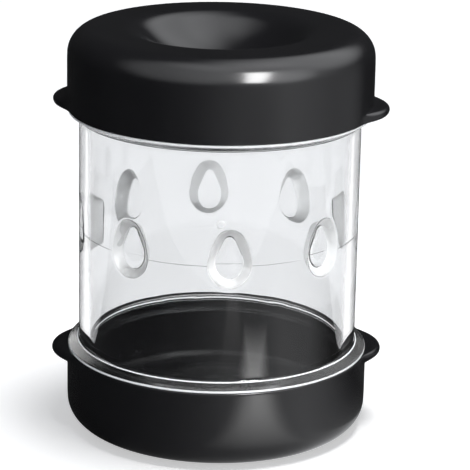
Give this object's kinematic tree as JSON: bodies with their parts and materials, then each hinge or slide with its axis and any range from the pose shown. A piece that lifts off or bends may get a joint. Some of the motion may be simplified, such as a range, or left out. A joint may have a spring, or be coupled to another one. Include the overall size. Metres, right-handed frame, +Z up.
{
  "type": "egg peeler",
  "caption": "Shake-type egg peeler: a clear tube with inward teardrop knobs round its middle, closed by pull-off dished caps with ears.",
  "frame": {"origin": "centre of the lower cap's standing ring, on the surface the object stands on", "axes": "+Z up along the tube's axis, X through the two ears of the lower cap"},
  "size_m": [0.08, 0.0724, 0.0965],
  "materials": {
    "cap_plastic": "satin black moulded plastic",
    "clear_plastic": "clear polished moulded plastic"
  },
  "bodies": {
    "lower_cap": {"lower_cap": "cap_plastic"},
    "tube": {"clear_tube": "clear_plastic"},
    "upper_cap": {"upper_cap": "cap_plastic"}
  },
  "joints": [
    {"name": "tube_lift", "type": "slide", "parent": "lower_cap", "child": "tube", "axis": [0, 0, 1], "range_m": [0, 0.075]},
    {"name": "upper_cap_lift", "type": "slide", "parent": "tube", "child": "upper_cap", "axis": [0, 0, 1], "range_m": [0, 0.075]}
  ]
}
